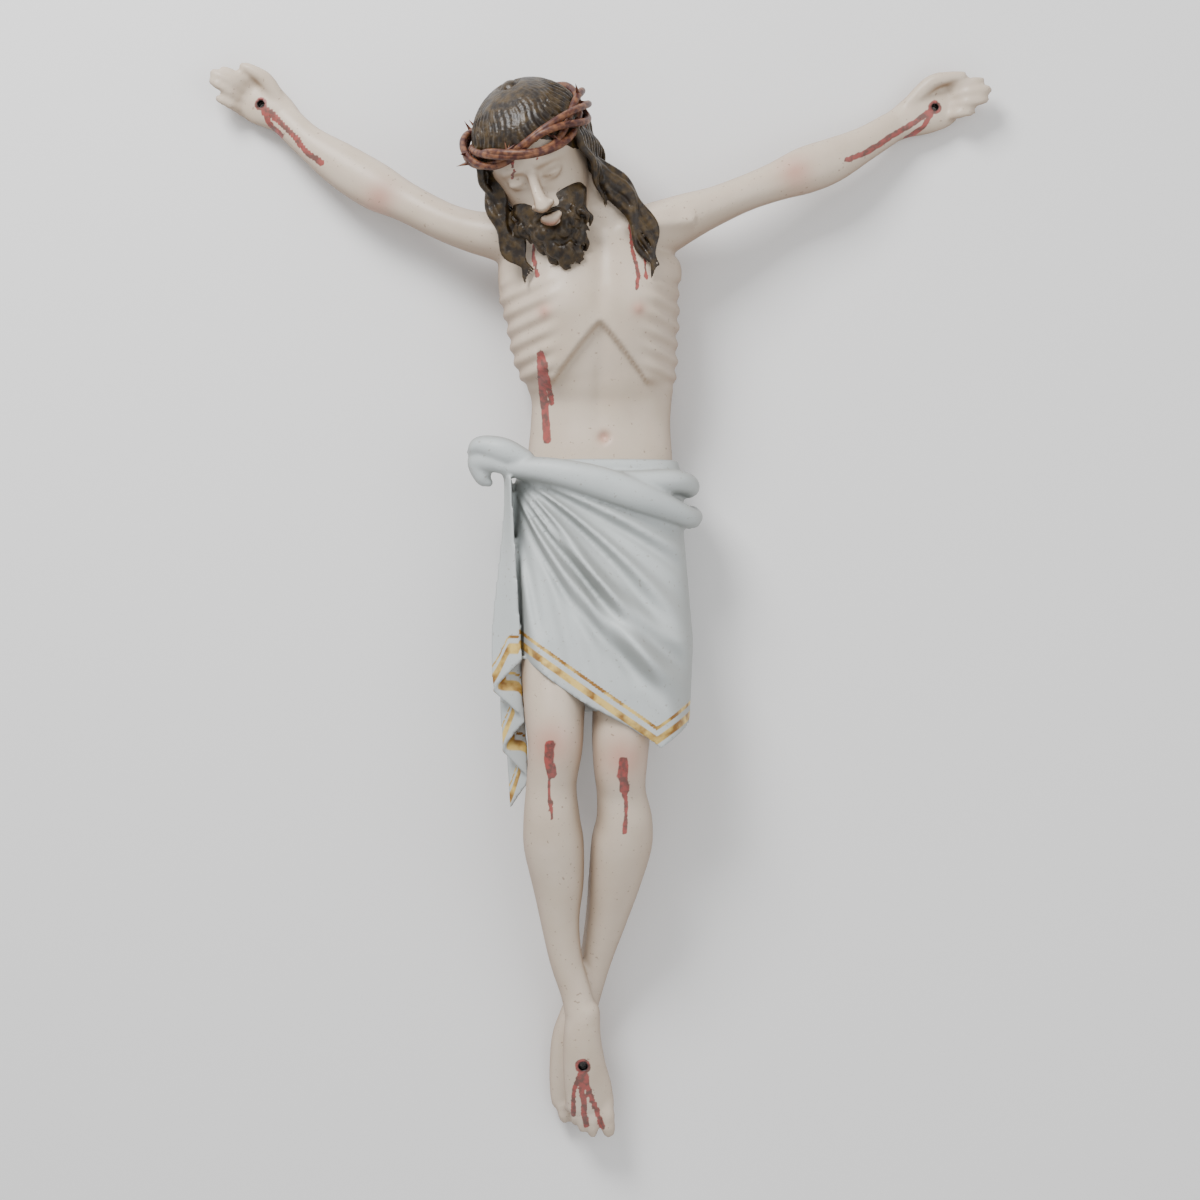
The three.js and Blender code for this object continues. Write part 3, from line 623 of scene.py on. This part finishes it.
# %% Paths of the twigs
TWIGS, THORNS_EACH, TWIG_RADIUS = 4, 7, 3.6
THORN_LENGTH, THORN_RADIUS = 15, 2.6
RING_WIDE, RING_DEEP, RING_HEIGHT, RING_BACK = 61, 67, 25, -6
WEAVE_OUT, WEAVE_UP = 4.5, 9


def twig_path(k, count=160):
    a = np.linspace(0, 2 * math.pi, count, endpoint=False)
    turns, phase = 2 + k % 2, k * 2 * math.pi / TWIGS
    wide = WEAVE_OUT * np.cos(turns * a + phase)
    height = RING_HEIGHT + WEAVE_UP * np.sin(turns * a + phase) + 3 * np.sin(a + phase) - 4 * np.sin(a)
    deep = RING_BACK + (RING_DEEP + wide) * np.sin(a)
    local = np.column_stack(((RING_WIDE + wide) * np.cos(a), height, deep))
    return local @ head_frame[:3, :3].T + head_frame[:3, 3]


paths = [twig_path(k) * MM for k in range(TWIGS)]
count = len(paths[0])
loops = [(k * count + i, k * count + (i + 1) % count) for k in range(TWIGS) for i in range(count)]
path_mesh = bpy.data.meshes.new("crown_twigs")
path_mesh.from_pydata(np.vstack(paths).tolist(), loops, [])
wreath = bpy.data.objects.new("crown_twigs", path_mesh)
bpy.context.scene.collection.objects.link(wreath)
print("twigs", TWIGS, "with", count, "points each")

# %% [markdown]
# Geometry Nodes sweep a round along every path and set a thorn on each seat, leaning at random from a fixed
# seed. The sizes are named inputs, so that the same tree could grow another wreath.

# %% The node tree that grows twigs and thorns
FULL_TURN = 6.28
TWIG_INPUTS = (("Geometry", "Geometry"), ("Twig radius", "Float"), ("Thorn radius", "Float"),
               ("Thorn length", "Float"), ("Thorns", "Int"), ("Material", "Material"))


def twig_tree():
    tree = bpy.data.node_groups.new("twigs_and_thorns", "GeometryNodeTree")
    for name, kind in TWIG_INPUTS:
        tree.interface.new_socket(name, in_out="INPUT", socket_type="NodeSocket" + kind)
    tree.interface.new_socket("Geometry", in_out="OUTPUT", socket_type="NodeSocketGeometry")

    def add(kind, settings=None, **inputs):
        """A node of this type, with its settings first and then its inputs' values or links."""
        node = tree.nodes.new(kind)
        for name, value in (settings or {}).items():
            setattr(node, name, value)
        for name, value in inputs.items():
            socket = node.inputs[name.replace("_", " ")]
            if isinstance(value, bpy.types.NodeSocket):
                tree.links.new(value, socket)
            else:
                socket.default_value = value
        return node

    sizes = add("NodeGroupInput").outputs
    curve = add("GeometryNodeMeshToCurve", Mesh=sizes["Geometry"])
    circle = add("GeometryNodeCurvePrimitiveCircle", Radius=sizes["Twig radius"], Resolution=12)
    sweep = add("GeometryNodeCurveToMesh", Curve=curve.outputs[0], Profile_Curve=circle.outputs[0])
    seats = add("GeometryNodeCurveToPoints", Curve=curve.outputs[0], Count=sizes["Thorns"])
    cone = add("GeometryNodeMeshCone", Vertices=8, Side_Segments=4, Radius_Bottom=sizes["Thorn radius"],
               Depth=sizes["Thorn length"])
    lean = add("FunctionNodeRandomValue", {"data_type": "FLOAT_VECTOR"}, Seed=0)
    lean.inputs[0].default_value = (0, 0, 0)
    lean.inputs[1].default_value = (FULL_TURN, FULL_TURN, FULL_TURN)
    thorns = add("GeometryNodeInstanceOnPoints", Points=seats.outputs[0], Instance=cone.outputs[0])
    turned = add("GeometryNodeRotateInstances", Instances=thorns.outputs[0], Rotation=lean.outputs[0])
    both = add("GeometryNodeJoinGeometry")
    tree.links.new(sweep.outputs[0], both.inputs[0])
    tree.links.new(turned.outputs[0], both.inputs[0])
    real = add("GeometryNodeRealizeInstances", Geometry=both.outputs[0])
    painted = add("GeometryNodeSetMaterial", Geometry=real.outputs[0], Material=sizes["Material"])
    end = tree.nodes.new("NodeGroupOutput")
    tree.links.new(painted.outputs[0], end.inputs[0])
    return tree


# %% [markdown]
# Paint is a node tree too, and long trees are hard to read as lists of nodes. Two small classes let it be
# written as plain expressions: a value that adds, subtracts and multiplies, and a paint that makes the
# nodes.

# %% Shader maths
GAMMA = 2.2
BUMP_DISTANCE, BUMP_STRENGTH = 0.0006, 0.7


class Value:
    def __init__(self, tree, socket):
        self.tree, self.socket = tree, socket

    def math(self, operation, other, swap=False):
        node = self.tree.nodes.new("ShaderNodeMath")
        node.operation = operation
        for slot, value in enumerate((other, self) if swap else (self, other)):
            if isinstance(value, Value):
                self.tree.links.new(value.socket, node.inputs[slot])
            else:
                node.inputs[slot].default_value = value
        return Value(self.tree, node.outputs[0])

    def __add__(self, other):
        return self.math("ADD", other)

    def __radd__(self, other):
        return self.math("ADD", other, True)

    def __sub__(self, other):
        return self.math("SUBTRACT", other)

    def __rsub__(self, other):
        return self.math("SUBTRACT", other, True)

    def __mul__(self, other):
        return self.math("MULTIPLY", other)

    def __rmul__(self, other):
        return self.math("MULTIPLY", other, True)


class Paint:
    def __init__(self, name, roughness):
        self.material = bpy.data.materials.new(name)
        self.material.use_nodes = True
        self.tree = self.material.node_tree
        self.shader = self.tree.nodes["Principled BSDF"]
        self.shader.inputs["Roughness"].default_value = roughness
        self.place = self.node("ShaderNodeTexCoord", output="Object")

    def node(self, kind, settings=None, sockets=None, output=0):
        """A node of this type, with its settings first and then its sockets' values or links."""
        made = self.tree.nodes.new(kind)
        for name, value in (settings or {}).items():
            setattr(made, name, value)
        for name, value in (sockets or {}).items():
            self.feed(made.inputs[name], value)
        return Value(self.tree, made.outputs[output])

    def feed(self, socket, value):
        if isinstance(value, Value):
            self.tree.links.new(value.socket, socket)
        else:
            socket.default_value = value

    def noise(self, scale, detail=3.0):
        return self.node("ShaderNodeTexNoise", None, {"Vector": self.place, "Scale": scale, "Detail": detail})

    def ramp(self, value, low, high):
        return self.node("ShaderNodeMapRange", None, {"Value": value, "From Min": low, "From Max": high})

    def mix(self, factor, a, b):
        """A colour mix. The node's colour sockets are 6 and 7, and its colour output is 2."""
        return self.node("ShaderNodeMix", {"data_type": "RGBA"}, {0: factor, 6: a, 7: b}, 2)

    def mask(self, name):
        return self.node("ShaderNodeAttribute", {"attribute_name": name}, output="Fac")

    def finish(self, colour, height, piece=None):
        bump = {"Height": height, "Distance": BUMP_DISTANCE, "Strength": BUMP_STRENGTH}
        self.feed(self.shader.inputs["Base Color"], colour)
        self.feed(self.shader.inputs["Normal"], self.node("ShaderNodeBump", None, bump))
        if piece:
            piece.data.materials.clear()
            piece.data.materials.append(self.material)
        print(self.material.name, len(self.tree.nodes), "nodes")
        return self.material


def srgb(r, g, b):
    return tuple((c / 255) ** GAMMA for c in (r, g, b)) + (1.0,)


# %% [markdown]
# Blood, tints and gold are only colour, so nothing is raised. Each mark is a mask on the points of the
# skin: a trickle is a line, and its mask falls off from that line. The paint then breaks up the masks'
# edges.

# %% Where the flesh is marked
# Each trickle: the line that it runs down, and its width
TRICKLES = [([(-344, 503), (-332, 492), (-312, 472), (-296, 452), (-280, 440)], 3),
            ([(-344, 503), (-336, 484), (-322, 470)], 2.4),
            ([(340, 500), (322, 486), (296, 470), (270, 452), (248, 442)], 3),
            ([(340, 500), (328, 480), (310, 468)], 2.4),
            ([(-59, 243), (-58, 215), (-55, 190), (-53, 160)], 4),
            ([(-56, 240), (-51, 214), (-48, 196)], 2.6),
            ([(-17, -467), (-12, -492), (-4, -512), (2, -532)], 3),
            ([(-17, -467), (-18, -495), (-14, -530)], 3),
            ([(-17, -467), (-26, -492), (-27, -520)], 2.4), ([(-64, 362), (-66, 340), (-62, 320)], 1.8),
            ([(30, 372), (32, 345), (38, 322), (36, 306)], 2), ([(44, 340), (46, 318)], 1.6),
            ([(-49, -142), (-50, -156), (-47, -170)], 5), ([(23, -158), (22, -172), (24, -186)], 5),
            ([(-49, -156), (-50, -190), (-47, -214)], 2), ([(22, -172), (26, -204), (24, -230)], 2)]
# Rosy places: x, y, reach. Nipples, elbows, knees and navel
ROSY = [*[(*nipple, 7) for nipple in NIPPLES], (-221, 404, 16), (196, 429, 16), (-48, -140, 20),
        (22, -155, 20), (*NAVEL, 7)]


def near_line(x, y, line, width):
    best = np.full(len(x), 1e9)
    for (ax, ay), (bx, by) in zip(line[:-1], line[1:]):
        t = np.clip(((x - ax) * (bx - ax) + (y - ay) * (by - ay)) / ((bx - ax) ** 2 + (by - ay) ** 2), 0, 1)
        best = np.minimum(best, np.hypot(x - ax - t * (bx - ax), y - ay - t * (by - ay)))
    return 1 - smooth(best, width * 0.6, width * 1.3)


def round_holes(inner, outer):
    rims = [1 - smooth(np.hypot(x - nx, y - ny), r + inner, r + outer) for nx, ny, r in NAIL_HOLES]
    return np.max(rims, axis=0)


co, no = points_of(flesh), normals_of(flesh)
x, y, z = co.T
hx, hy, hz = in_head_frame(co).T
front = smooth(no[:, 2], -0.2, 0.3)
blood = front * np.max([near_line(x, y, line, w) for line, w in TRICKLES], axis=0)
brow_blood = (near_line(hx, hy, [(-12, 18), (-14, 4), (-20, -4)], 1.3)
              + near_line(hx, hy, [(10, 18), (12, 6)], 1.1))
rosy = np.max([bell(np.hypot(x - px, y - py), s) for px, py, s in ROSY], axis=0)
lips = bell(np.hypot(hx / 2.2, hy + 56), 4.5) * (hz > 40)
attribute(flesh, "blood", np.maximum(blood, round_holes(1.5, 5) * front) + brow_blood * (hz > 30))
# Painted shade in the nail holes: their walls and a thin rim round them are masked to go nearly black.
attribute(flesh, "hole_shade", round_holes(0.2, 1.4))
attribute(flesh, "rosy", np.maximum(rosy * front, lips))
# Painted shade: this mask grows where the skin turns away from above and from the head end.
attribute(flesh, "shade", 1 - smooth(no[:, 2] + 0.25 * no[:, 1], -0.1, 0.85))
print("points under blood", int((blood > 0.5).sum()))

# %% [markdown]
# The gilding is a broad band and a thin line along each hem. The hems that shaped the drape and the hanging
# end also place it, so that it can't stray from them.

# %% Where the cloth is gilded
BAND_ABOVE_HEM, LINE_ABOVE_HEM = 9, 21
TAIL_BAND_ABOVE_HEM, TAIL_LINE_ABOVE_HEM = 12, 24
x, y, z = points_of(cloth).T
above = y - hem_at(x)
front_panel = (z > 60) & (x > -86)
band_line = bell(above - BAND_ABOVE_HEM, 4.2) * front_panel
thin_line = bell(above - LINE_ABOVE_HEM, 1.9) * front_panel
u = np.clip((CASCADE_FRONT - z) / CASCADE_DEPTH, 0, 1)
hem_low = CASCADE_TOP - (CASCADE_SHORT + (CASCADE_LONG - CASCADE_SHORT) * u)
tail = (x < -58) & (y < 60) & ((x < -80) | (y < -60))
tail_above = y - hem_low
tail_band = bell(tail_above - TAIL_BAND_ABOVE_HEM, 5.5) + bell(tail_above - TAIL_LINE_ABOVE_HEM, 1.3)
cloth_normals = normals_of(cloth)
# Painted shade: this mask grows where the cloth turns away from above, as on the sides of the folds.
attribute(cloth, "shade", 1 - smooth(cloth_normals[:, 2], 0.2, 0.95))
gold = np.where(tail, tail_band, band_line + thin_line)
attribute(cloth, "gold", gold)
print("points under gold", int((gold > 0.5).sum()))

# %% [markdown]
# The flesh is old oil paint: ivory and beige in soft clouds, rosy at the joints, and specked with dirt.
# Painted shade makes it browner where the form turns away. The blood comes over it in two reds,
# and painted shade darkens the nail holes inside.

# %% Flesh paint
paint = Paint("flesh_paint", 0.42)
broad, fine = paint.noise(22.0), paint.noise(420.0, 2.0)
skin = paint.mix(broad, srgb(218, 203, 186), srgb(192, 173, 151))
# Painted shade: the skin goes browner where it turns away.
skin = paint.mix(paint.mask("shade") * 0.85, skin, srgb(138, 108, 82))
skin = paint.mix(paint.mask("rosy") * 0.6, skin, srgb(190, 128, 112))
specks = paint.ramp(paint.noise(260.0, 1.0), 0.70, 0.76)
skin = paint.mix(specks * 0.5, skin, srgb(120, 90, 70))
wet = paint.ramp(paint.mask("blood") + (paint.noise(90.0) - 0.5) * 1.1, 0.35, 0.6)
red = paint.mix(paint.ramp(paint.noise(160.0), 0.42, 0.6), srgb(150, 34, 40), srgb(84, 16, 24))
skin = paint.mix(wet * 0.85, skin, red)
# Painted shade: the walls and rims of the nail holes go nearly black.
skin = paint.mix(paint.mask("hole_shade"), skin, srgb(18, 14, 12))
paint.finish(skin, broad * 0.6 + fine * 0.2, flesh)

# %% [markdown]
# The cloth is a thin pale wash, with painted shade greyer where its folds turn away, and worn gold leaf
# along the hems.

# %% Cloth paint
paint = Paint("cloth_paint", 0.5)
wash = paint.noise(14.0)
linen = paint.mix(wash, srgb(206, 211, 210), srgb(178, 185, 186))
# Painted shade: the cloth goes greyer where it turns away from above.
linen = paint.mix(paint.mask("shade") * 0.6, linen, srgb(128, 128, 122))
specks = paint.ramp(paint.noise(240.0, 1.0), 0.68, 0.75)
linen = paint.mix(specks * 0.4, linen, srgb(130, 120, 105))
leaf = paint.mix(paint.ramp(paint.noise(60.0), 0.4, 0.62), srgb(222, 190, 108), srgb(140, 98, 40))
linen = paint.mix(paint.ramp(paint.mask("gold"), 0.3, 0.5), linen, leaf)
paint.finish(linen, wash * 0.5 + paint.noise(300.0, 2.0) * 0.3, cloth)

# %% [markdown]
# The hair is dark brown with olive lights, and the twigs are reddish bark. Neither needs a mask: one noise
# gives both the colour and the bump.

# %% Hair and bark paint
paint = Paint("hair_paint", 0.4)
tone = paint.ramp(paint.noise(120.0), 0.4, 0.65)
paint.finish(paint.mix(tone * 0.45, srgb(34, 25, 16), srgb(96, 76, 42)), tone, hair)

paint = Paint("twig_paint", 0.5)
bark = paint.noise(150.0)
bark_colour = paint.mix(paint.ramp(bark, 0.4, 0.62), srgb(66, 30, 24), srgb(120, 78, 52))
twig_material = paint.finish(bark_colour, bark)

# %% [markdown]
# The tree takes its sizes and its bark through the modifier. Settling the wreath then makes it a plain
# mesh, so that it can be kept in the box like the other pieces.

# %% Twigs and thorns
grow = wreath.modifiers.new("twigs", "NODES")
grow.node_group = twig_tree()
given = {"Twig radius": TWIG_RADIUS * MM, "Thorn radius": THORN_RADIUS * MM,
         "Thorn length": THORN_LENGTH * MM, "Thorns": THORNS_EACH, "Material": twig_material}
for item in grow.node_group.interface.items_tree:
    if item.in_out == "INPUT" and item.name in given:
        grow[item.identifier] = given[item.name]
settle(wreath)
keep_in_box(wreath)
print("wreath", len(wreath.data.vertices), "points")

# %% [markdown]
# Nothing on the figure moves, so every piece rides on the one body. The flesh, cloth and hair together
# stand for the one solid of the figure, and the twigs stand for the wreath.

# %% Pieces take their places in the frame
for piece, node, slot_name in ((flesh, "corpus", "painted_flesh"), (cloth, "corpus", "painted_cloth"),
                               (hair, "corpus", "painted_hair"), (wreath, "crown_of_thorns", "thorn_wood")):
    piece.data.shade_smooth()
    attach(piece, "root")
    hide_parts(node)
    print(piece.name, sum(len(p.vertices) - 2 for p in piece.data.polygons), "triangles")

# %% [markdown]
# A plain pale floor lies a hair below the figure. It is only staging, so it isn't part of the object.

# %% Floor
FLOOR_REACH, FLOOR_DROP = 6.0, -0.0005
floor_mesh = bpy.data.meshes.new("floor")
corners = [(i * FLOOR_REACH, j * FLOOR_REACH, FLOOR_DROP) for i, j in ((-1, -1), (1, -1), (1, 1), (-1, 1))]
floor_mesh.from_pydata(corners, [], [(0, 1, 2, 3)])
floor = bpy.data.objects.new("floor", floor_mesh)
bpy.context.scene.collection.objects.link(floor)
floor_paint = bpy.data.materials.new("floor_paint")
floor_paint.use_nodes = True
floor_paint.node_tree.nodes["Principled BSDF"].inputs["Base Color"].default_value = (0.9, 0.9, 0.9, 1)
floor_paint.node_tree.nodes["Principled BSDF"].inputs["Roughness"].default_value = 0.9
floor_mesh.materials.append(floor_paint)
print("floor at", FLOOR_DROP)

# %% [markdown]
# The light is a soft studio's. The key lamp stands beyond the head and low enough to rake over the folds
# and ribs, and the other two only soften its shadows.

# %% Lights
SKY_STRENGTH = 0.6
# Each lamp: name, place, watts, width
LAMPS = (("key", (-1.0, 2.0, 1.7), 82, 1.0), ("fill", (1.6, 0.2, 2.4), 22, 2.0),
         ("low", (0, -2.0, 2.0), 8, 2.0))
for name, place, power, size in LAMPS:
    light_data = bpy.data.lights.new(name, "AREA")
    light_data.energy = power
    light_data.size = size
    light = bpy.data.objects.new(name, light_data)
    light.location = place
    light.rotation_euler = (-Vector(place)).to_track_quat("-Z", "Y").to_euler()
    bpy.context.scene.collection.objects.link(light)
world = bpy.data.worlds.new("studio")
world.use_nodes = True
world.node_tree.nodes["Background"].inputs["Color"].default_value = (1, 1, 1, 1)
world.node_tree.nodes["Background"].inputs["Strength"].default_value = SKY_STRENGTH
bpy.context.scene.world = world
print("lamps", len(LAMPS))
